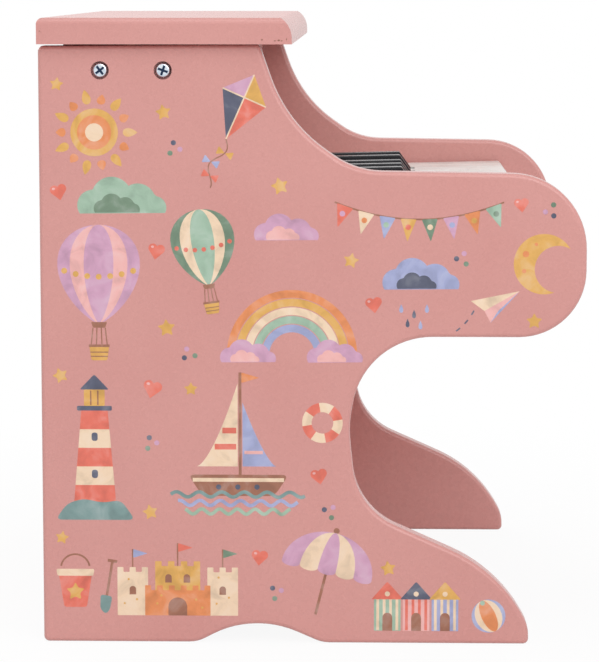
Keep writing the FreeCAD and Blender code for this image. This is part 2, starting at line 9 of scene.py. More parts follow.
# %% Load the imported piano
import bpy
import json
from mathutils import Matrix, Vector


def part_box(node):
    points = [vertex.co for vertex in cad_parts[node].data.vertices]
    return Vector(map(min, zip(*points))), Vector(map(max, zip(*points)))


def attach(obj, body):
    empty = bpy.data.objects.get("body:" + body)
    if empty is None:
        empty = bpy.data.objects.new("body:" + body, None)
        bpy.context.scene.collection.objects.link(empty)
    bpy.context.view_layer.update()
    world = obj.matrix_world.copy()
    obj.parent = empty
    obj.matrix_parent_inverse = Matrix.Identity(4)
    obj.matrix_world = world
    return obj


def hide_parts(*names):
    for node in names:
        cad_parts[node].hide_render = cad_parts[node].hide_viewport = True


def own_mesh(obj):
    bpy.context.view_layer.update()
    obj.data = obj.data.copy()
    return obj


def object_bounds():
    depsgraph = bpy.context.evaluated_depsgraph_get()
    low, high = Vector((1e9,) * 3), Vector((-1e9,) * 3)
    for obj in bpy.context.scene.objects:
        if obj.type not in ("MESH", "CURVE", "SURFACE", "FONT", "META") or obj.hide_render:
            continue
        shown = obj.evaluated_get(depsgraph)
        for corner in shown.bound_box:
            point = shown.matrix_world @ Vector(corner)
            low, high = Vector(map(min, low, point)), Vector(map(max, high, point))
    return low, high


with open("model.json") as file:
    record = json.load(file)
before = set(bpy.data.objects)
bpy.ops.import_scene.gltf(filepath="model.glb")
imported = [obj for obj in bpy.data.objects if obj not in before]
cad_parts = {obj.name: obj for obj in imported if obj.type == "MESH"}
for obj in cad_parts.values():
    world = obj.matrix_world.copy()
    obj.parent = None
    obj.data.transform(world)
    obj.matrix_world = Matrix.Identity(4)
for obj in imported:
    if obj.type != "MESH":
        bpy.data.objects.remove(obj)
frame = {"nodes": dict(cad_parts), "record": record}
cad_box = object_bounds()

# %% [markdown]
# ## Tools and units
#
# Blender works in metres, but a toy is measured in millimetres, so one short name turns one into the other.
# The record that comes with the model says which finish each piece has. Sorting the pieces by that name now
# lets us paint all pink boards in one go later, instead of naming fifty pieces one by one.

# %% Units and the pieces sorted by finish
import json
import math
import random

import bmesh
import bpy
from mathutils import Vector

mm = 0.001
by_finish = {}
for piece in frame["record"]["subparts"]:
    by_finish.setdefault(piece["material_slot"], []).append(frame["nodes"][piece["node"]])
for finish_name, members in sorted(by_finish.items()):
    print(f"{finish_name}: {len(members)} pieces")

# %% [markdown]
# ## Small helpers for shader nodes
#
# A material in Blender is a little graph of nodes. Clicking it together by hand is slow to repeat, so these
# helpers add a node, fill in its sockets and join it to its neighbours in one line. A finish is one shader:
# what is even all over goes straight onto its sockets, and its colour, roughness and relief are patterns.

# %% Nodes and finishes


def srgb(red, green, blue):
    """A colour as a screen shows it, 0 to 255, turned into the linear light that shaders use."""
    def linear(value):
        share = value / 255
        return share / 12.92 if share <= 0.04045 else ((share + 0.055) / 1.055) ** 2.4
    return (linear(red), linear(green), linear(blue), 1.0)


def add_node(tree, kind, sockets):
    """A new node whose sockets are set to plain values or joined to another node's output."""
    made = tree.nodes.new(kind)
    for name, value in sockets.items():
        if isinstance(value, bpy.types.NodeSocket):
            tree.links.new(value, made.inputs[name])
        else:
            made.inputs[name].default_value = value
    return made


def sum_node(tree, operation, first, second=0.0):
    """The result of one sum, such as MULTIPLY, on two values or outputs."""
    made = add_node(tree, "ShaderNodeMath", {0: first, 1: second})
    made.operation = operation
    return made.outputs["Value"]


def finish(name, settings, patterns):
    """A material with even settings, and with the colour, roughness and normal that patterns gives."""
    material = bpy.data.materials.new(name)
    material.use_nodes = True
    tree = material.node_tree
    shader = tree.nodes["Principled BSDF"]
    for socket, value in settings.items():
        shader.inputs[socket].default_value = value
    for socket, output in zip(("Base Color", "Roughness", "Normal"), patterns(tree)):
        tree.links.new(output, shader.inputs[socket])
    return material


print("a middle grey is", round(srgb(128, 128, 128)[0], 3), "in linear light")

# %% [markdown]
# ## Noise as colour, shine and relief
#
# Paint, wood and metal are never quite even. A picture could hold that unevenness, but it blurs up close and
# has to be wrapped round every piece. Noise has no such limits. It reads the Object coordinates, which are
# metres on the piece itself, so a grain keeps its size on a large board and on a small key, and it stays on
# the key when the key moves. Most of the noise lies between the two values named here.

# %% Noise helpers
noise_low = 0.3
noise_high = 0.7


def grain(tree, size, stretch=(1, 1, 1), detail=3.0, swirl=0.0):
    """Cloudy noise from 0 to 1, with patches about as large as size, drawn out where stretch is small."""
    place = add_node(tree, "ShaderNodeTexCoord", {}).outputs["Object"]
    drawn = add_node(tree, "ShaderNodeMapping", {"Vector": place, "Scale": stretch}).outputs["Vector"]
    sockets = {"Vector": drawn, "Scale": 1 / size, "Detail": detail, "Distortion": swirl}
    return add_node(tree, "ShaderNodeTexNoise", sockets).outputs["Fac"]


def tint(tree, amount, *stops):
    """Colours laid along a noise: each stop is a place, rising from 0 to 1, and its colour."""
    made = add_node(tree, "ShaderNodeValToRGB", {"Fac": amount})
    points = made.color_ramp.elements
    for place, _ in stops[2:]:
        points.new(place)
    for point, (place, colour) in zip(points, stops):
        point.position = place
        point.color = colour
    return made.outputs["Color"]


def two_tone(tree, amount, low, high):
    """One colour where a noise is low and another where it is high."""
    return tint(tree, amount, (noise_low, low), (noise_high, high))


def between(tree, amount, low, high):
    """The middle of a noise spread from low to high, for a roughness that varies a little."""
    sockets = {"Value": amount, "From Min": noise_low, "From Max": noise_high, "To Min": low, "To Max": high}
    return add_node(tree, "ShaderNodeMapRange", sockets).outputs["Result"]


def relief(tree, amount, depth):
    """A normal that dips and rises by depth, in metres."""
    return add_node(tree, "ShaderNodeBump", {"Height": amount, "Distance": depth}).outputs["Normal"]


print("noise used:", noise_low, "to", noise_high)

# %% [markdown]
# ## The satin pink paint
#
# The boards are sprayed with a dusty pink paint that dries to a soft satin shine. Sprayed paint is never one
# flat colour: it is a touch paler where it went on thick, and its skin has the tiny dimples that painters
# call orange peel. A large, faint noise gives the colour drift, a fine one gives the dimples as a bump, and
# a third makes the shine uneven. The shader itself turns a board pale when you look along it, which is how
# real paint behaves at a low angle.

# %% Satin pink paint
pink_deep = srgb(208, 146, 140)
pink_middle = srgb(210, 149, 143)
pink_pale = srgb(212, 151, 145)


def pink_patterns(tree):
    drift = grain(tree, size=60 * mm, detail=4.0)
    speckle = grain(tree, size=3 * mm, detail=2.0)
    peel = grain(tree, size=1.1 * mm, detail=2.0)
    colour = tint(tree, drift, (noise_low, pink_deep), (0.5, pink_middle), (noise_high, pink_pale))
    return colour, between(tree, speckle, 0.26, 0.29), relief(tree, peel, depth=0.001 * mm)


pink_paint = finish("satin_pink_paint", {}, pink_patterns)
print("made", pink_paint.name)

# %% [markdown]
# ## The keys
#
# Both kinds of key are painted wood. White lacquer on wood keeps a trace of the grain under it, so the noise
# is stretched along the key and only just shows, and a satin clear coat reflects the pink board beside it.
# The black keys have the same long grain pressed into a plainer paint, with a trace of dust that keeps them
# from being pure black. Stretching one noise is simpler than a wave texture and shows no repeat.

# %% White and black key paint
along_key = (1.0, 0.06, 1.0)


def white_key_patterns(tree):
    fibres = grain(tree, size=0.9 * mm, stretch=along_key, detail=3.0)
    drift = grain(tree, size=25 * mm, detail=2.0)
    colour = two_tone(tree, drift, srgb(224, 220, 214), srgb(234, 231, 226))
    return colour, between(tree, drift, 0.28, 0.36), relief(tree, fibres, depth=0.002 * mm)


def black_key_patterns(tree):
    fibres = grain(tree, size=0.8 * mm, stretch=along_key, detail=4.0)
    dust = grain(tree, size=6 * mm, detail=5.0)
    colour = tint(tree, dust, (0.35, srgb(7, 7, 14)), (0.75, srgb(17, 16, 24)))
    return colour, between(tree, dust, 0.20, 0.30), relief(tree, fibres, depth=0.002 * mm)


white_paint = finish("white_key_paint", {"Coat Weight": 0.4, "Coat Roughness": 0.28}, white_key_patterns)
black_paint = finish("black_key_paint", {"Specular IOR Level": 0.25}, black_key_patterns)
print("made", white_paint.name, "and", black_paint.name)

# %% [markdown]
# ## What hides inside
#
# Behind the front panel the piano keeps bare wooden rails, red felt, steel rods and tone bars, and plastic
# hammers. Nobody sees them from the front, but a good model survives a look under the lid. Pale beech is two
# noises: long figure for the colour and short flecks for its shine and its pores. The rest need one each.
# Felt has a deep colour, a fuzzy bump and a sheen, and brushed steel is a metal with long streaks.

# %% Wood, felt, steel and plastic
along_board = (0.05, 1.0, 1.0)
along_fleck = (0.18, 1.0, 1.0)
along_streak = (1.0, 0.04, 1.0)
beech_deep = srgb(196, 158, 114)
beech_middle = srgb(210, 175, 130)
beech_pale = srgb(222, 189, 146)


def wood_patterns(tree):
    figure = grain(tree, size=5 * mm, stretch=along_board, detail=4.0, swirl=0.6)
    flecks = grain(tree, size=1.2 * mm, stretch=along_fleck, detail=2.0)
    colour = tint(tree, figure, (0.25, beech_deep), (0.5, beech_middle), (0.75, beech_pale))
    return colour, between(tree, flecks, 0.55, 0.72), relief(tree, flecks, depth=0.05 * mm)


def one_noise(shades, roughness, depth, **noise):
    """Patterns of a plain finish: one noise gives its colour, its roughness and its relief."""
    def patterns(tree):
        amount = grain(tree, **noise)
        colour = two_tone(tree, amount, *shades)
        return colour, between(tree, amount, *roughness), relief(tree, amount, depth)
    return patterns


felt_fuzz = one_noise(
    shades=(srgb(122, 30, 36), srgb(164, 52, 54)), roughness=(0.85, 1.0), depth=0.25 * mm,
    size=0.6 * mm, detail=6.0, swirl=1.5)
steel_streaks = one_noise(
    shades=(srgb(186, 188, 190), srgb(206, 208, 210)), roughness=(0.22, 0.42), depth=0.006 * mm,
    size=0.5 * mm, stretch=along_streak, detail=3.0)
hammer_mould = one_noise(
    shades=(srgb(222, 214, 200), srgb(232, 225, 212)), roughness=(0.45, 0.58), depth=0.02 * mm,
    size=0.7 * mm, detail=3.0)
beech = finish("bare_beech", {}, wood_patterns)
felt = finish("red_felt", {"Sheen Weight": 0.5, "Sheen Roughness": 0.5}, felt_fuzz)
steel = finish("brushed_steel", {"Metallic": 1.0}, steel_streaks)
plastic = finish("hammer_plastic", {}, hammer_mould)
print("made", beech.name, felt.name, steel.name, plastic.name)

# %% [markdown]
# ## The screws
#
# Each side is held by two zinc-plated cross-head screws that sit in round recesses. Zinc plating is a bright
# bluish metal whose crystals catch the light differently, so a cell pattern shifts its colour a little. The
# cross in the head is real geometry. A mask made from the depth below the head's outer face paints shade into
# the deep part of the cross, which reads better at this size than waiting for the real shadow alone.

# %% Zinc plating
screw_face = max(abs(vertex.co.x) for vertex in frame["nodes"]["side_screws"].data.vertices)
crystal_size = 0.9 * mm
# Painted shade in the deep part of the cross: it begins this far below the head's outer face, is full this far
# below it, and has the dark blue colour set below.
painted_shade_starts = 0.7 * mm
painted_shade_full = 1.1 * mm
zinc_painted_shade = srgb(44, 58, 82)
zinc_middle = srgb(200, 211, 222)
zinc_bright = srgb(226, 233, 240)


def zinc_patterns(tree):
    place = add_node(tree, "ShaderNodeTexCoord", {}).outputs["Object"]
    crystals = add_node(tree, "ShaderNodeTexVoronoi", {"Vector": place, "Scale": 1 / crystal_size})
    across = add_node(tree, "ShaderNodeSeparateXYZ", {"Vector": place}).outputs["X"]
    # Painted shade mask: 0 deep in the cross, where the shade is painted, and 1 on the head's face.
    unshaded_share = add_node(tree, "ShaderNodeMapRange", {
        "Value": sum_node(tree, "ABSOLUTE", across),
        "From Min": screw_face - painted_shade_full,
        "From Max": screw_face - painted_shade_starts,
    })
    glint = between(tree, crystals.outputs["Color"], 0.5, 1.0)
    bright = sum_node(tree, "MULTIPLY", unshaded_share.outputs["Result"], glint)
    smear = grain(tree, size=0.6 * mm, detail=3.0)
    colour = tint(tree, bright, (0.0, zinc_painted_shade), (0.45, zinc_middle), (1.0, zinc_bright))
    return colour, between(tree, smear, 0.18, 0.32), relief(tree, smear, depth=0.01 * mm)


zinc = finish("zinc_plating", {"Metallic": 1.0}, zinc_patterns)
print("made", zinc.name)

# %% [markdown]
# ## Paint the pieces
#
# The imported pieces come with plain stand-in materials. Swapping the material in each mesh's slot changes how
# the piece looks and leaves its shape alone, which is all that a dressed model may do to it.

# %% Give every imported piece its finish
finishes = {
    "pink_paint": pink_paint,
    "white_key": white_paint,
    "black_key": black_paint,
    "bare_wood": beech,
    "felt": felt,
    "steel": steel,
    "zinc": zinc,
    "hammer_plastic": plastic,
}
for finish_name, members in by_finish.items():
    for member in members:
        member.data.materials.clear()
        member.data.materials.append(finishes[finish_name])
    print(f"{finishes[finish_name].name} on {len(members)} pieces")

# %% [markdown]
# ## Inks for the printed sides
#
# Toy pianos often carry a printed design on their sides in soft, dusty colours. This one gets a day at the
# seaside: sun, clouds, balloons, a kite, a boat and a sandcastle. The inks look like watercolour, so each is
# one hue that pools darker and lighter in soft patches, with the fine tooth of paper over it. One function
# makes them all from a colour, which keeps the whole print in one family.

# %% Watercolour inks
pool_size = 9 * mm
tooth_size = 0.5 * mm
deep_share = 0.74
pale_share = 0.16
ink_colours = {
    "sage": srgb(118, 142, 120),
    "mint": srgb(160, 188, 166),
    "lilac": srgb(208, 160, 188),
    "dusk_blue": srgb(164, 170, 208),
    "slate": srgb(88, 92, 112),
    "ochre": srgb(224, 172, 92),
    "apricot": srgb(228, 142, 90),
    "coral": srgb(228, 116, 98),
    "blush": srgb(238, 180, 176),
    "shell": srgb(240, 212, 182),
    "bark": srgb(160, 108, 86),
    "teal": srgb(126, 154, 152),
}


def watercolour(name, colour):
    deep = tuple(channel * deep_share for channel in colour[:3]) + (1.0,)
    pale = tuple(channel + (1 - channel) * pale_share for channel in colour[:3]) + (1.0,)

    def patterns(tree):
        pools = grain(tree, pool_size, detail=5.0, swirl=0.8)
        tooth = grain(tree, tooth_size, detail=2.0)
        wash = tint(tree, pools, (0.25, deep), (0.5, colour), (0.75, pale))
        return wash, between(tree, tooth, 0.38, 0.50), relief(tree, tooth, depth=0.008 * mm)
    return finish("ink_" + name, {}, patterns)


inks = {name: watercolour(name, colour) for name, colour in ink_colours.items()}
print("inks:", ", ".join(inks))

# %% [markdown]
# ## Drawing with outlines
#
# A printed shape is a closed outline filled with ink. Drawing those outlines with a few formulas, in
# millimetres, gives clean edges at any zoom, and a mesh made from them needs no image file.

# %% Basic marks


def polar(radius, turn):
    """The point at a distance from the middle, at an angle in degrees."""
    return (radius * math.cos(math.radians(turn)), radius * math.sin(math.radians(turn)))


def arc(x, y, radius, start, end, steps=20):
    """Points along an arc between two angles in degrees."""
    turns = [math.radians(start + (end - start) * step / steps) for step in range(steps + 1)]
    return [(x + radius * math.cos(turn), y + radius * math.sin(turn)) for turn in turns]


def oval(x, y, wide, tall, steps=32):
    """A closed oval with the given half width and half height."""
    turns = [2 * math.pi * step / steps for step in range(steps)]
    return [(x + wide * math.cos(turn), y + tall * math.sin(turn)) for turn in turns]


def disc(x, y, radius):
    return oval(x, y, radius, radius)


def oblong(x, y, wide, tall, top=1.0):
    """Four corners standing on the middle of the base, with a wider or narrower top."""
    half = wide / 2
    return [(x - half, y), (x + half, y), (x + half * top, y + tall), (x - half * top, y + tall)]


def teardrop(x, y, wide, tall, sharpness, steps=40):
    """A drop with its point down: a small sharpness is a balloon, a large one a raindrop."""
    turns = [2 * math.pi * step / steps for step in range(steps)]
    return [(x + wide * math.sin(turn) * abs(math.sin(turn / 2)) ** sharpness, y - tall * math.cos(turn))
            for turn in turns]


def softened(corners, radius, steps=5):
    """A polygon whose corners are eased into small curves, no longer than half of a side."""
    points = []
    for place, corner in enumerate(corners):
        here = Vector(corner)
        sides = [Vector(corners[place - 1]) - here, Vector(corners[(place + 1) % len(corners)]) - here]
        first, last = (here + side * min(0.5, radius / side.length) for side in sides)
        for step in range(steps + 1):
            share = step / steps
            point = first * (1 - share) ** 2 + here * 2 * share * (1 - share) + last * share ** 2
            points.append(tuple(point))
    return points


print("a disc has", len(disc(0, 0, 1)), "points")

# %% [markdown]
# ## Lines, and copies of a motif
#
# A string, a mast or a stripe is a line with a width. Offsetting its points to both sides turns it into one
# more closed outline. A motif is a list of inks with their outlines, in the order in which a screen printer
# would lay them, and moving all of its points puts a copy of it anywhere.

# %% Brush lines and placed copies


def brush_line(points, width):
    """A line of even width along some points."""
    left, right = [], []
    for place, point in enumerate(points):
        before = Vector(points[max(place - 1, 0)])
        after = Vector(points[min(place + 1, len(points) - 1)])
        across = (after - before).orthogonal().normalized() * width / 2
        left.append(tuple(Vector(point) + across))
        right.append(tuple(Vector(point) - across))
    return left + right[::-1]


def level_line(start, end, up, width):
    return brush_line([(start, up), (end, up)], width)


def upright_line(x, start, end, width):
    return brush_line([(x, start), (x, end)], width)


def moved(motif, x, y, size=1.0, turn=0.0):
    """A copy of a motif, sized, turned by degrees and moved."""
    cos, sin = size * math.cos(math.radians(turn)), size * math.sin(math.radians(turn))
    return [(ink, [(x + u * cos - v * sin, y + u * sin + v * cos) for u, v in outline])
            for ink, outline in motif]


print("a level line has", len(level_line(0, 1, 0, 1)), "points")

# %% [markdown]
# ## Sun, moon, clouds and small marks
#
# These motifs are the simplest ones. A cloud is the outer edge of a few circles: a line turns round the
# middle and keeps the furthest circle that it meets. A star is a polygon with softened points, and a heart
# is two arcs and a tip. Drawn from a few sizes, a fatter star or a thinner moon is one number away.

# %% Sky motifs


def sun(core=10.0, rays=14, gap=2.0, ray_wide=2.3, ray_lengths=(6.2, 4.2)):
    shapes = []
    for ray in range(rays):
        ink = ("ochre", "apricot")[ray % 2]
        half = ray_lengths[ray % 2] / 2
        turn = 360 * ray / rays
        x, y = polar(core + gap + half, turn)
        shapes += moved([(ink, teardrop(0, 0, ray_wide, half, sharpness=0.9))], x, y, turn=turn + 90)
    rings = (("ochre", 1.0), ("apricot", 0.72), ("shell", 0.38))
    return shapes + [(ink, disc(0, 0, core * share)) for ink, share in rings]


def moon(size=14.0, tips=50, hollow=7.0):
    tip_x, tip_y = polar(size, tips)
    turn = math.degrees(math.atan2(tip_y, tip_x - hollow))
    outer = arc(0, 0, size, tips, 360 - tips, 40)
    inner = arc(hollow, 0, math.hypot(tip_x - hollow, tip_y), 360 - turn, turn, 30)
    craters = ((-9.5, 1.5, 1.5), (-7.5, -6.2, 1.0), (-6.6, 7.4, 0.8))
    return [("ochre", outer + inner[1:-1])] + [("apricot", disc(*crater)) for crater in craters]


def cloud(ink, shade):
    puffs = ((-11, 1.5, 6.5), (-3, 5.0, 8.5), (8, 3.2, 7.5), (15, 0.5, 5.0))
    edge = []
    for turn in range(-5, 188, 4):
        way = Vector(polar(1, turn))
        reach = 0.0
        for x, y, radius in puffs:
            along = way.dot(Vector((x, y)))
            off_line = x * x + y * y - along * along
            if off_line < radius * radius:
                reach = max(reach, along + math.sqrt(radius * radius - off_line))
        edge.append(tuple(way * reach))
    return [(ink, edge)] + moved([(shade, edge)], -1.5, -0.6, size=0.52)


def star(ink, points=5, long=5.0, short=2.4, ease=1.1):
    corners = [polar(short if tip % 2 else long, 90 + 180 * tip / points) for tip in range(2 * points)]
    return [(ink, softened(corners, ease))]


def heart(ink, glow, half=2.2, lobe=2.6, lobe_up=1.5, tip=-5.0):
    meet = math.degrees(math.acos(half / lobe))
    right = arc(half, lobe_up, lobe, -40, 179 - meet)
    left = arc(-half, lobe_up, lobe, meet + 1, 220)
    return [(ink, [(0, tip)] + right + left), (glow, oval(-2.6, 2.2, wide=0.9, tall=0.7))]


def raindrops(wide=1.5, tall=2.4):
    places = ((0, 0), (7, -3), (14, 0), (3.5, -8), (10.5, -9))
    shapes = []
    for drop, (x, y) in enumerate(places):
        ink = ("dusk_blue", "slate")[drop % 2]
        shapes += moved([(ink, teardrop(0, 0, wide, tall, sharpness=1.4))], x, y, turn=180)
    return shapes


def confetti(*dots, radius=1.2):
    places = ((0, 0), (4.6, 1.8), (1.6, 4.8))
    return [(ink, disc(x, y, radius)) for ink, (x, y) in zip(dots, places)]


print("a cloud has", len(cloud("mint", "sage")[0][1]), "points")

# %% [markdown]
# ## Balloons, a rainbow, a kite, bunting and a paper plane
#
# A balloon's envelope is the teardrop drawn fat. The same drop made narrower and laid on top gives the curved
# seams of its panels, which is how a printer would fake them too. The rainbow is a stack of half rings, and
# the kite's tail and the bunting's string are brush lines along a wave and a sagging curve.

# %% Air motifs


def hot_air_balloon(first, second, third, dot):
    wide, tall, middle = 20.5, 21.0, 12.0
    hem, collar, deck, basket = -8.2, 2.4, -18.0, 6.5
    dot_step, dot_rise, dot_radius = 4.85, 0.28, 1.25
    gores = ((first, 1.0), (second, 0.70), (third, 0.36))
    shapes = [(ink, teardrop(0, middle, wide * share, tall, sharpness=0.55)) for ink, share in gores]
    for place in range(-3, 4):
        shapes.append((dot, disc(dot_step * place, middle - 1 + dot_rise * place * place, dot_radius)))
    shapes.append(("bark", softened(oblong(0, hem - collar, 5.2, collar, top=1.3), 0.6)))
    for side in (-1, -0.35, 0.35, 1):
        shapes.append(("bark", brush_line([(side * 2.6, hem - collar), (side * 3.4, deck)], width=0.5)))
    shapes.append(("ochre", softened(oblong(0, deck - basket, 6.8, basket, top=1.24), 1.0)))
    for drop, width, long in ((0.3, 1.1, 8.8), (3.0, 0.45, 7.6), (4.8, 0.45, 7.2)):
        shapes.append(("bark", level_line(-long / 2, long / 2, deck - drop, width)))
    return shapes


def rainbow(outer=27.0, band=3.6, gap=0.4):
    shapes = []
    for place, ink in enumerate(("apricot", "ochre", "shell", "mint", "dusk_blue")):
        far = outer - band * place
        shapes.append((ink, arc(0, 0, far, 0, 180, 36) + arc(0, 0, far - band + gap, 180, 0, 36)))
    puff = cloud("lilac", "blush")
    return shapes + moved(puff, -19, -2, size=0.62) + moved(puff, 17, -2, size=0.62)


def kite(tall=17.0, wide=11.5, cross=5.0, spar=0.7, string=0.6, bow_long=4.0, bow_half=2.1):
    top, low, left, right, middle = (0, tall), (0, -tall), (-wide, cross), (wide, cross), (0, cross)
    shapes = [("lilac", [top, middle, left]), ("ochre", [top, right, middle]),
              ("slate", [left, middle, low]), ("coral", [middle, right, low])]
    tail = [(2.6 * math.sin(0.42 * step), -tall - 1.3 * step) for step in range(20)]
    lines = (("shell", [top, low], spar), ("shell", [left, right], spar), ("bark", tail, string))
    shapes += [(ink, brush_line(path, width)) for ink, path, width in lines]
    for ink, place in (("ochre", 5), ("dusk_blue", 10), ("coral", 15)):
        x, y = tail[place]
        for way in (-bow_long, bow_long):
            shapes.append((ink, softened([(x, y), (x + way, y + bow_half), (x + way, y - bow_half)], 0.8)))
    return shapes


def bunting(span=78.0, sag=8.0, drop=10.5, string=0.8, dot=1.3, steps=30):
    colours = ("coral", "shell", "dusk_blue", "ochre", "sage", "lilac", "apricot", "mint")

    def hang(share):
        return Vector((span * (share - 0.5), -4 * sag * share * (1 - share)))
    shapes = [("bark", brush_line([tuple(hang(step / steps)) for step in range(steps + 1)], string))]
    for flag, ink in enumerate(colours):
        left, right = hang((flag + 0.12) / len(colours)), hang((flag + 0.88) / len(colours))
        along = (right - left).normalized()
        down = Vector((along.y, -along.x)) * drop
        middle = (left + right) / 2
        shapes.append((ink, softened([tuple(left), tuple(right), tuple(middle + down)], 0.7)))
        shapes.append((colours[flag - 3], disc(*(middle + down * 0.36), dot)))
    return shapes


def paper_plane(trail_brush=0.7):
    nose, fold, keel, wing, crease = (13, 4), (-5, -1), (-3.5, -7), (-10, 5), (1.2, -2.6)
    shapes = [("shell", [nose, wing, fold]), ("blush", [nose, fold, keel]),
              ("dusk_blue", [nose, keel, crease])]
    for dash in range(3):
        path = arc(-30, 18, 27, -68 + 11 * dash, -63 + 11 * dash, 4)
        shapes.append(("slate", brush_line(path, trail_brush)))
    return shapes


print("a balloon takes", len(hot_air_balloon("lilac", "blush", "lilac", "ochre")), "shapes")

# %% [markdown]
# ## Boat, lighthouse and life ring
#
# The larger motifs are put together from straight-sided shapes with softened corners, the way a paper cut-out
# would be: a hull and two curved sails, a tower in bands, a ring in pieces. Loops place the bands and pieces,
# so a change to one number keeps them evenly spaced.

# %% Sea motifs


def waves(length, rows, half_steps=30, crest=1.1, row_gap=3.6, brush=1.5):
    shapes = []
    for row, ink in enumerate(rows):
        half = length / 2 - 3.0 * row
        path = [(-half + half * step / half_steps, crest * math.sin(step * 0.62 + row) - row_gap * row)
                for step in range(2 * half_steps + 1)]
        shapes.append((ink, brush_line(path, brush)))
    return shapes


def sailboat(mast=43.0, mast_x=1.0, boom=3.5, steps=16):
    rise = [step / steps for step in range(steps + 1)]
    main_sail = [(-17 + 17 * share, boom + 35 * share ** 1.5) for share in rise] + [(0, boom)]
    jib = [(16 - 14 * share, boom + 27 * share ** 1.4) for share in rise] + [(2, boom)]
    stripes = (("coral", -9.6, -0.6, 11.8, 2.4), ("coral", -6.4, -0.6, 18.6, 2.4),
               ("blush", 2.8, 10.5, 9.4, 1.4))
    shapes = [("shell", main_sail), ("dusk_blue", jib)]
    shapes += [(ink, level_line(start, end, up, width)) for ink, start, end, up, width in stripes]
    shapes.append(("bark", upright_line(mast_x, 0, mast, width=1.2)))
    shapes.append(("apricot", softened([(1.6, mast), (1.6, mast - 4.4), (9.0, mast - 2.2)], 0.5)))
    shapes.append(("bark", softened(oblong(0.25, -9, 30, 9, top=1.4), 3.0)))
    shapes.append(("shell", level_line(-18.8, 19.3, -2.2, width=1.6)))
    shapes += [("slate", disc(x, -5.2, 1.1)) for x in (-8, 0, 8)]
    return shapes + moved(waves(56, ("teal", "dusk_blue", "mint")), 0, -8.4)


def lighthouse(foot=18.0, neck=11.2, tall=40.0, bands=5):
    shapes = []
    for band in range(bands):
        low, high = (foot + (neck - foot) * share / bands for share in (band, band + 1))
        ink = ("coral", "shell")[band % 2]
        shapes.append((ink, oblong(0, tall * band / bands, low, tall / bands, top=high / low)))
    shapes.append(("teal", softened([(-17, -7), (17, -7), (11, 1.6), (3, 0.4), (-5, 2.2), (-12, 0)], 3.0)))
    shapes.append(("ochre", softened(oblong(0, tall + 2, 8.8, 7), 0.5)))
    shapes += [("bark", upright_line(x, tall + 2.4, tall + 8.6, width=0.6)) for x in (-1.5, 1.5)]
    shapes.append(("slate", softened(oblong(0, tall, 14.8, 2), 0.6)))
    shapes.append(("slate", softened([(-6.2, tall + 9), (6.2, tall + 9), (0, tall + 15.5)], 0.9)))
    return shapes + [("slate", softened(oblong(0, up, 2.6, 3.6), 1.2)) for up in (27, 11)]


def life_ring(outer=9.0, inner=4.8, parts=8):
    turn = 360 / parts
    shapes = []
    for part in range(parts):
        start, end = turn * part, turn * (part + 1)
        outline = arc(0, 0, outer, start, end, 8) + arc(0, 0, inner, end, start, 8)
        shapes.append((("coral", "shell")[part % 2], outline))
    return shapes


print("the boat takes", len(sailboat()), "shapes")

# %% [markdown]
# ## Beach things
#
# A sandcastle is a few walls with square teeth along their tops, so one function draws a wall and a loop
# cuts its teeth. The parasol's panels are slices of a half oval, and the ball's are ever narrower ovals, the
# same trick as on the balloons.

# %% Sand motifs


def doorway(x, y, wide, tall):
    """An opening with a round top, standing on the middle of its base."""
    return arc(x, y + tall - wide / 2, wide / 2, 0, 180, 12) + [(x - wide / 2, y), (x + wide / 2, y)]


def castle_wall(ink, x, wide, tall, teeth, notch=2.4):
    tooth = wide / (2 * teeth - 1)
    corners = [(x - wide / 2, 0), (x + wide / 2, 0)]
    for place in range(2 * teeth - 1):
        top = tall if place % 2 == 0 else tall - notch
        right = x + wide / 2 - tooth * place
        corners += [(right, top), (right - tooth, top)]
    return (ink, softened(corners, 0.35, 2))


def sandcastle(tower_x=22.0, tower=24.0, keep=27.0, pole=9.0, grain_radius=0.55):
    shapes = []
    for x, y, ink in ((-tower_x, tower, "dusk_blue"), (0, keep, "coral"), (tower_x, tower, "sage")):
        shapes.append(("bark", upright_line(x, y - 4, y + pole, width=0.7)))
        shapes.append((ink, softened([(x + 0.3, y + pole), (x + 0.3, y + 4.6), (x + 7.4, y + 6.8)], 0.5)))
    shapes += [castle_wall("ochre", 0, 22, keep, 4), castle_wall("shell", -tower_x, 15, tower, 3),
               castle_wall("shell", tower_x, 15, tower, 3), castle_wall("apricot", 0, 32, 15, 6)]
    shapes.append(("bark", doorway(0, 0, wide=9.2, tall=9.0)))
    windows = ((-tower_x, 10.4), (tower_x, 10.4), (-4.5, 16.4), (4.5, 16.4))
    shapes += [("bark", doorway(x, y, wide=3.2, tall=4.2)) for x, y in windows]
    grains = ((-26, 6), (-20, 8), (-24, 18), (19, 6), (25, 9), (20, 19), (-10, 6), (-8, 10), (9, 8), (12, 4))
    return shapes + [("ochre", disc(x, y, grain_radius)) for x, y in grains]


def parasol(wide=20.0, tall=17.0, ribs=5, pole_end=-20.0):
    quarter = [math.pi / 2 * step / 12 for step in range(13)]
    shapes = [("bark", upright_line(0, tall, pole_end, width=1.2)), ("bark", disc(0, tall + 1, 1.3))]
    for rib in range(ribs):
        left, right = (wide * (2 * edge / ribs - 1) for edge in (rib, rib + 1))
        rise = [(right * math.cos(turn), tall * math.sin(turn)) for turn in quarter]
        fall = [(left * math.cos(turn), tall * math.sin(turn)) for turn in quarter[-2::-1]]
        hem = oval((left + right) / 2, 0, wide / ribs, 0.45 * wide / ribs, 20)[11:20]
        shapes.append((("lilac", "shell")[rib % 2], rise + fall + hem))
    return shapes


def beach_ball(size=11.0, cap=1.6):
    gores = (("dusk_blue", 1.0), ("shell", 0.78), ("apricot", 0.42))
    shapes = [(ink, oval(0, 0, size * share, size)) for ink, share in gores]
    return shapes + [("mint", disc(0, size * 0.86, cap))]


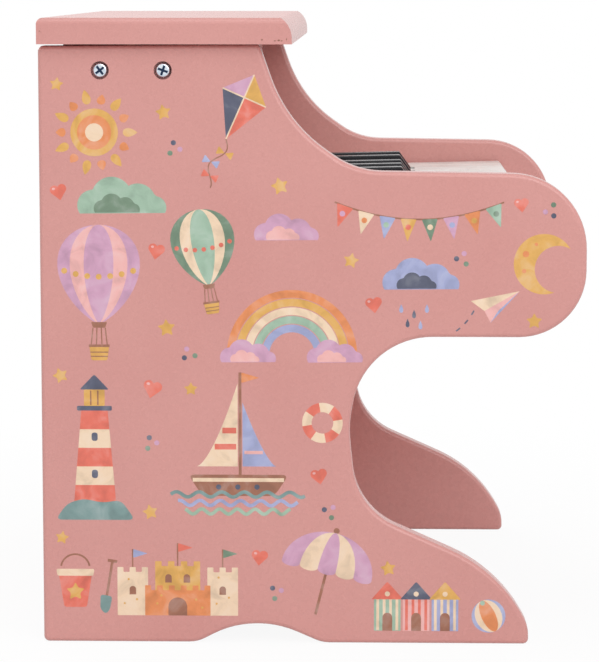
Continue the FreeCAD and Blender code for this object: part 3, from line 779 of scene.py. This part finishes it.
def bucket_and_spade():
    bail = brush_line(arc(0, 12, 7.4, 10, 170, 16), width=0.9)
    pail = softened(oblong(0, -8, 11.5, 18, top=1.5), 1.4)
    rim = softened(oblong(0, 8.2, 18.4, 3.6, top=1.06), 1.0)
    shaft = brush_line([(16, -2), (19, 16)], width=1.3)
    grip = brush_line([(16.6, 16.4), (21.4, 15.6)], width=1.5)
    blade = softened([(12.8, -1.4), (18.8, -2.4), (17.4, -9.6), (15.2, -11.6), (12.6, -8.8)], 1.6)
    bucket = [("bark", bail), ("coral", pail), ("shell", rim)] + star("ochre")
    return bucket + [("bark", shaft), ("bark", grip), ("teal", blade)]


def beach_huts(wide=12.5, wall=15.0, roof=8.5, gap=1.0, stripe=1.3):
    shapes = []
    colours = (("mint", "shell", "coral"), ("blush", "coral", "slate"), ("dusk_blue", "shell", "ochre"))
    for hut, (wall_ink, stripe_ink, roof_ink) in enumerate(colours):
        x = (hut - 1) * (wide + gap)
        shapes.append((wall_ink, oblong(x, 0, wide, wall)))
        for share in (-0.36, -0.12, 0.12, 0.36):
            shapes.append((stripe_ink, upright_line(x + share * wide, 0.3, wall, stripe)))
        eaves = [(x - wide * 0.6, wall), (x + wide * 0.6, wall), (x, wall + roof)]
        shapes.append((roof_ink, softened(eaves, 0.8)))
        shapes.append(("bark", doorway(x, 0, wide=4.6, tall=8.6)))
        shapes.append(("shell", disc(x, wall + 2.6, 1.2)))
    return shapes


print("the sandcastle takes", len(sandcastle()), "shapes")

# %% [markdown]
# ## Where each motif goes
#
# The print is laid out on the panel by shares: how far from the back edge towards the front, and how far up.
# Then come a size and a turn in degrees. Shares keep the layout on the board if the board changes. Large
# things come first and sit apart from each other, then stars, hearts and dots fill the gaps, because an even
# scatter is what makes a print feel calm.

# %% The layout
star_places = (
    (0.228, 0.889, 0.8, 10), (0.034, 0.935, 0.7, -8), (0.440, 0.768, 0.9, 15), (0.232, 0.532, 0.9, 5),
    (0.570, 0.645, 0.8, -12), (0.905, 0.545, 0.8, 0), (0.036, 0.452, 0.8, 20), (0.200, 0.222, 0.8, 12),
    (0.276, 0.430, 0.7, 0), (0.036, 0.178, 0.7, -10), (0.640, 0.128, 0.8, 8),
)
heart_places = (
    (0.036, 0.758, 0.8, 12), (0.214, 0.660, 0.8, -10), (0.612, 0.572, 0.8, 8), (0.205, 0.430, 0.9, -14),
    (0.512, 0.284, 0.8, 10), (0.402, 0.146, 0.8, -6), (0.880, 0.738, 0.7, 6),
)
confetti_places = (
    (0.240, 0.822, 1.0, 0), (0.780, 0.640, 1.0, 80), (0.284, 0.486, 1.0, 120), (0.196, 0.330, 1.0, 10),
    (0.535, 0.214, 1.0, 60), (0.430, 0.076, 1.0, 30), (0.938, 0.738, 1.0, 200),
)
layout = {
    "sun": [(sun(), 0.102, 0.856, 1.1, 0)],
    "kite": [(kite(), 0.368, 0.898, 0.95, -24)],
    "clouds": [
        (cloud("mint", "sage"), 0.146, 0.730, 1.1, 0),
        (cloud("lilac", "blush"), 0.448, 0.684, 0.8, 0),
        (cloud("dusk_blue", "slate"), 0.693, 0.604, 0.95, 0),
    ],
    "balloons": [
        (hot_air_balloon("lilac", "blush", "lilac", "ochre"), 0.108, 0.574, 1.1, 0),
        (hot_air_balloon("sage", "shell", "mint", "coral"), 0.306, 0.630, 0.85, 8),
    ],
    "rainbow": [(rainbow(), 0.462, 0.488, 1.12, 0)],
    "bunting": [(bunting(), 0.694, 0.742, 1.0, 0)],
    "moon": [(moon(), 0.922, 0.640, 1.0, -20)],
    "paper_plane": [(paper_plane(), 0.832, 0.570, 1.0, 14)],
    "sailboat": [(sailboat(), 0.362, 0.286, 1.12, 0)],
    "lighthouse": [(lighthouse(), 0.098, 0.236, 1.1, 0)],
    "life_ring": [(life_ring(), 0.518, 0.374, 1.05, 10)],
    "sandcastle": [(sandcastle(), 0.250, 0.046, 0.96, 0)],
    "bucket_and_spade": [(bucket_and_spade(), 0.060, 0.086, 0.92, 0)],
    "parasol": [(parasol(), 0.526, 0.124, 1.08, -14)],
    "beach_huts": [(beach_huts(), 0.692, 0.022, 1.0, 0)],
    "beach_ball": [(beach_ball(), 0.826, 0.048, 0.72, 25)],
    "raindrops": [(raindrops(), 0.662, 0.566, 0.85, 0)],
    "stars": [(star("ochre"), *place) for place in star_places],
    "hearts": [(heart("coral", "blush"), *place) for place in heart_places],
    "confetti": [(confetti("sage", "lilac", "slate"), *place) for place in confetti_places],
}
print("motifs:", len(layout), "placed:", sum(len(places) for places in layout.values()))

# %% [markdown]
# ## From outlines to thin films of ink
#
# Each outline becomes a closed film: a lower ring of points on the board, an upper ring a hair's breadth out,
# and a wall between them. A flat cut-out without thickness would be simpler, but a closed film is a true
# solid, and it can't fight with the board for the same place in the render.

# %% Films and pieces
ink_film = 0.003 * mm


def lay_film(mesh, outline, at, height, material):
    """One closed film of ink, from the board's face to the given height."""
    rings = [[mesh.verts.new(at(u, v, lift)) for u, v in outline] for lift in (0.0, height)]
    faces = [mesh.faces.new(rings[1]), mesh.faces.new(rings[0][::-1])]
    for place in range(len(outline)):
        ahead = (place + 1) % len(outline)
        faces.append(mesh.faces.new((rings[0][place], rings[0][ahead], rings[1][ahead], rings[1][place])))
    for face in faces:
        face.material_index = material


def hang_piece(name, mesh, materials):
    """Turns a finished mesh into a piece that rides on the case."""
    bmesh.ops.recalc_face_normals(mesh, faces=mesh.faces)
    data = bpy.data.meshes.new(name)
    mesh.to_mesh(data)
    mesh.free()
    for material in materials:
        data.materials.append(material)
    piece = bpy.data.objects.new(name, data)
    bpy.context.scene.collection.objects.link(piece)
    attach(piece, "case")
    return piece


print("each film ends", round(ink_film / mm, 3), "mm above the one before")

# %% [markdown]
# ## Print both sides
#
# Within a piece every film ends a little above the one before, so two colours never share a place. Both sides
# of the piano carry the same design, and as it is placed from back to front, the second side comes out as a
# true mirror image.

# %% Print both sides


def print_motif(name, board, side, placed):
    low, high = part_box(board)
    face = low.x if side < 0 else high.x
    mesh = bmesh.new()
    names = []
    height = 0.0
    for motif, front_share, up_share, size, turn in placed:
        origin = Vector((face, high.y + (low.y - high.y) * front_share, low.z + (high.z - low.z) * up_share))

        def at(u, v, lift):
            return origin + Vector((side * lift, -u * mm, v * mm))
        for ink, outline in moved(motif, 0, 0, size, turn):
            if ink not in names:
                names.append(ink)
            height += ink_film
            lay_film(mesh, outline, at, height, names.index(ink))
    return hang_piece(name, mesh, [inks[ink] for ink in names])


printed = []
for board, side, side_name in (("left_side_panel", -1, "left"), ("right_side_panel", 1, "right")):
    for motif_name, placed in layout.items():
        printed.append(print_motif(f"print_{side_name}_{motif_name}", board, side, placed))
print("printed pieces:", len(printed), "faces:", sum(len(piece.data.polygons) for piece in printed))

# %% [markdown]
# ## Chipped paint on the lid
#
# The end of the lid has a few tiny knocks where the paint has gone and the brown board shows. A chip could be
# painted into the shader, but it would then repeat on every board, so each is a small ragged film with its
# own dark, fibrous material. Its four numbers are millimetres: how far it is from the back and from the
# underside, and half of its length and height.

# %% Paint chips
random.seed(7)
lid_low, lid_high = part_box("lid")
chip_film = 0.03 * mm
chip_points = 14
ragged_long = (0.7, 1.2)
ragged_tall = (0.6, 1.25)
chips = [
    (1.6, 6.0, 0.34, 0.26),
    (2.4, 5.6, 0.22, 0.14),
    (103.4, 2.1, 0.38, 0.42),
    (109.3, 1.6, 0.50, 0.24),
    (111.0, 1.8, 0.70, 0.40),
    (112.4, 1.7, 0.40, 0.28),
    (114.6, 2.3, 0.22, 0.52),
]
board_fibres = one_noise(
    shades=(srgb(112, 76, 60), srgb(160, 112, 94)), roughness=(0.75, 0.95), depth=0.05 * mm,
    size=0.4 * mm, detail=5.0, swirl=1.0)


def chip(mesh, back, up, long, tall):
    origin = Vector((lid_low.x, lid_high.y - back * mm, lid_low.z + up * mm))

    def at(u, v, lift):
        return origin + Vector((-lift, -u * mm, v * mm))
    ragged = []
    for u, v in oval(0, 0, long, tall, chip_points):
        ragged.append((u * random.uniform(*ragged_long), v * random.uniform(*ragged_tall)))
    lay_film(mesh, ragged, at, chip_film, 0)


raw_board = finish("chipped_board", {}, board_fibres)
chip_mesh = bmesh.new()
for back, up, long, tall in chips:
    chip(chip_mesh, back, up, long, tall)
paint_chips = hang_piece("lid_paint_chips", chip_mesh, [raw_board])
print(paint_chips.name, "has", len(chips), "chips")

# %% [markdown]
# ## A return spring
#
# Under every key a small coil spring pushes it up again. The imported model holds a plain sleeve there, which
# is enough for its weight but not for a look inside. A spring is a wire that runs round a helix: its end
# turns lie flat, one wire apart, and the open turns share the rest of the height. A curve with a round bevel
# would draw it too, but a mesh swept ring by ring keeps the number of its faces in view.

# %% A coil of wire
spring_low, spring_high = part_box("key_springs")
spring_wire = 0.8 * mm
spring_turns = 7
turn_steps = 20
wire_sides = 8


def coil_height(turn):
    """How high the wire's middle is after some turns: flat end turns and even ones between them."""
    open_turns = spring_turns - 2
    rise = (spring_high.z - spring_low.z - 3 * spring_wire) / open_turns
    opened = min(max(turn - 1, 0), open_turns)
    return spring_low.z + spring_wire / 2 + rise * opened + spring_wire * (turn - opened)


def coil_spring(name, x):
    mesh = bmesh.new()
    axis_y = (spring_low.y + spring_high.y) / 2
    radius = (spring_high.y - spring_low.y - spring_wire) / 2
    section = oval(0, 0, spring_wire / 2, spring_wire / 2, wire_sides)
    rings = []
    for step in range(spring_turns * turn_steps + 1):
        turn = 2 * math.pi * step / turn_steps
        outward = Vector((math.cos(turn), math.sin(turn), 0))
        middle = Vector((x, axis_y, coil_height(step / turn_steps))) + outward * radius
        points = [middle + outward * across + Vector((0, 0, up)) for across, up in section]
        rings.append([mesh.verts.new(point) for point in points])
    for ring, following in zip(rings, rings[1:]):
        for side in range(wire_sides):
            ahead = (side + 1) % wire_sides
            mesh.faces.new((ring[side], ring[ahead], following[ahead], following[side]))
    mesh.faces.new(rings[0])
    mesh.faces.new(rings[-1])
    for face in mesh.faces:
        face.smooth = True
    return hang_piece(name, mesh, [steel])


print("a spring is", round((spring_high.z - spring_low.z) / mm, 2), "mm tall")

# %% [markdown]
# ## Eighteen springs
#
# Each spring is a piece of its own. The springs' places along the keyboard are read from the sleeves that
# they replace.

# %% Coil springs under the keys
sleeve_gap = 1 * mm


def sleeve_middles(node):
    """The middle of each sleeve along the keyboard, found from the gaps between them."""
    places = sorted(vertex.co.x for vertex in frame["nodes"][node].data.vertices)
    sleeves = [[places[0]]]
    for place in places[1:]:
        if place - sleeves[-1][-1] > sleeve_gap:
            sleeves.append([])
        sleeves[-1].append(place)
    return [(sleeve[0] + sleeve[-1]) / 2 for sleeve in sleeves]


key_presses = [joint for joint in frame["record"]["behaviour"]["joints"] if joint["name"].startswith("key_")]
key_presses.sort(key=lambda joint: joint["name"])
for press, x in zip(key_presses, sleeve_middles("key_springs")):
    spring = coil_spring("return_spring_" + press["child"][len("key_"):], x)
    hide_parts("key_springs")
    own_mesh(spring)

# %% [markdown]
# ## The camera
#
# The picture looks at the piano's left side, almost square on, from a little above and far enough away that
# the far panel is only slightly smaller than the near one. A long lens at that distance gives this flat look.
# The camera aims at a point on the near panel's face, so it turns with simple vector tracking.

# %% Camera at the photograph's angle
panel_low, panel_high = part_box("left_side_panel")
camera_away = 1308.3 * mm
camera_back = 154.4 * mm
camera_up = 308.6 * mm
aim_back = 120.4 * mm
aim_up = 147.7 * mm
lens_length = 154.7
sensor_width = 36.0
camera_place = Vector((panel_low.x - camera_away, panel_high.y - camera_back, camera_up))
aim = Vector((panel_low.x, panel_high.y - aim_back, aim_up))
camera_data = bpy.data.cameras.new("camera")
camera_data.sensor_width = sensor_width
camera_data.lens = lens_length
camera = bpy.data.objects.new("camera", camera_data)
bpy.context.scene.collection.objects.link(camera)
camera.location = camera_place
camera.rotation_euler = (aim - camera_place).to_track_quat("-Z", "Y").to_euler()
bpy.context.scene.camera = camera
print("camera to panel:", round((aim - camera_place).length, 3), "m")

# %% [markdown]
# ## A white room
#
# Product pictures stand on white. Flooding the scene with light would wash the pink out, so the whiteness is
# given only to what the camera and mirrors see: the world is plain white for those rays and a gentle grey for
# the light that it casts.

# %% World
sky_light = 0.6
white = (1.0, 1.0, 1.0, 1.0)


def seen_directly(tree):
    """1 for rays from the camera, from mirrors or through glass, and 0 for plain light."""
    path = add_node(tree, "ShaderNodeLightPath", {}).outputs
    mirrored = sum_node(tree, "MAXIMUM", path["Is Glossy Ray"], path["Is Transmission Ray"])
    return sum_node(tree, "MAXIMUM", path["Is Camera Ray"], mirrored)


def mix_shaders(tree, amount, first, second):
    """The first shader where amount is 0, the second where it is 1."""
    sockets = {0: amount, 1: first.outputs[0], 2: second.outputs[0]}
    return add_node(tree, "ShaderNodeMixShader", sockets).outputs[0]


world = bpy.data.worlds.new("white_room")
bpy.context.scene.world = world
world.use_nodes = True
room = world.node_tree
cast = room.nodes["Background"]
cast.inputs["Color"].default_value = white
cast.inputs["Strength"].default_value = sky_light
shown = add_node(room, "ShaderNodeBackground", {"Color": white, "Strength": 1.0})
mixed = mix_shaders(room, seen_directly(room), cast, shown)
room.links.new(mixed, room.nodes["World Output"].inputs["Surface"])
print("sky light:", sky_light)

# %% [markdown]
# ## The floor
#
# The floor is a pale sheet that glows white for the same rays, so that its far edge melts into the sky. Close
# to the piano it keeps part of its real shading, because without a soft shadow the feet would seem to float.
# A round gradient fades that share away before the floor meets the sky.

# %% Floor
floor_half = 4.0
floor_drop = 0.1 * mm
shadow_share = 0.10
shadow_reach = 0.55
floor_dull = (0.80, 0.80, 0.80, 1.0)
floor_pale = (0.84, 0.84, 0.84, 1.0)

floor_paint = bpy.data.materials.new("white_floor")
floor_paint.use_nodes = True
ground = floor_paint.node_tree
matt = ground.nodes["Principled BSDF"]
matt.inputs["Roughness"].default_value = 0.9
matt.inputs["Specular IOR Level"].default_value = 0.1
wash = two_tone(ground, grain(ground, size=400 * mm), floor_dull, floor_pale)
ground.links.new(wash, matt.inputs["Base Color"])
spot = add_node(ground, "ShaderNodeTexCoord", {}).outputs["Object"]
nearby = add_node(ground, "ShaderNodeMapping", {"Vector": spot, "Scale": (1 / shadow_reach,) * 3})
fade = add_node(ground, "ShaderNodeTexGradient", {"Vector": nearby.outputs["Vector"]})
fade.gradient_type = "SPHERICAL"
kept = sum_node(ground, "MULTIPLY", fade.outputs["Fac"], shadow_share)
glow = add_node(ground, "ShaderNodeEmission", {"Color": white, "Strength": 1.0})
bright = sum_node(ground, "MULTIPLY", seen_directly(ground), sum_node(ground, "SUBTRACT", 1.0, kept))
ground.links.new(mix_shaders(ground, bright, matt, glow), ground.nodes["Material Output"].inputs["Surface"])

floor_level = cad_box[0].z - floor_drop
square = ((-1, -1), (1, -1), (1, 1), (-1, 1))
floor_mesh = bpy.data.meshes.new("floor")
floor_mesh.from_pydata([(floor_half * x, floor_half * y, floor_level) for x, y in square], [], [(0, 1, 2, 3)])
floor_mesh.materials.append(floor_paint)
floor = bpy.data.objects.new("floor", floor_mesh)
bpy.context.scene.collection.objects.link(floor)
print("floor", 2 * floor_half, "m wide at", round(floor_level, 4))

# %% [markdown]
# ## Soft studio lights
#
# Three large soft boxes do the rest. The main one stands beside the camera, a little high, so the near panel
# is even and light reaches the far panel over the keys and through the knee space. A weaker one hangs
# overhead and draws a pale line along the rounded edges, and the third keeps the far side and the back from
# going dull. Large area lamps give soft-edged shadows with no extra tricks.

# %% Lamps
centre = (cad_box[0] + cad_box[1]) / 2


def soft_box(name, place, size, watts):
    """A square lamp, set in metres from the piano's middle and turned to it."""
    lamp = bpy.data.lights.new(name, "AREA")
    lamp.size = size
    lamp.energy = watts
    lamp_object = bpy.data.objects.new(name, lamp)
    bpy.context.scene.collection.objects.link(lamp_object)
    lamp_object.location = centre + Vector(place)
    lamp_object.rotation_euler = (-Vector(place)).to_track_quat("-Z", "Y").to_euler()
    return lamp_object


main_light = soft_box("main_soft_box", place=(-1.6, -0.7, 1.0), size=1.3, watts=13.5)
top_light = soft_box("top_soft_box", place=(-0.7, 0.2, 1.7), size=1.2, watts=6.5)
back_light = soft_box("back_soft_box", place=(1.4, 1.0, 0.9), size=1.2, watts=10)
print("lamps:", main_light.name, top_light.name, back_light.name)

# %% [markdown]
# ## The last settings
#
# The Standard view shows a colour about as it was written, which suits a product picture.

# %% The finish
bpy.context.scene.view_settings.view_transform = "Standard"
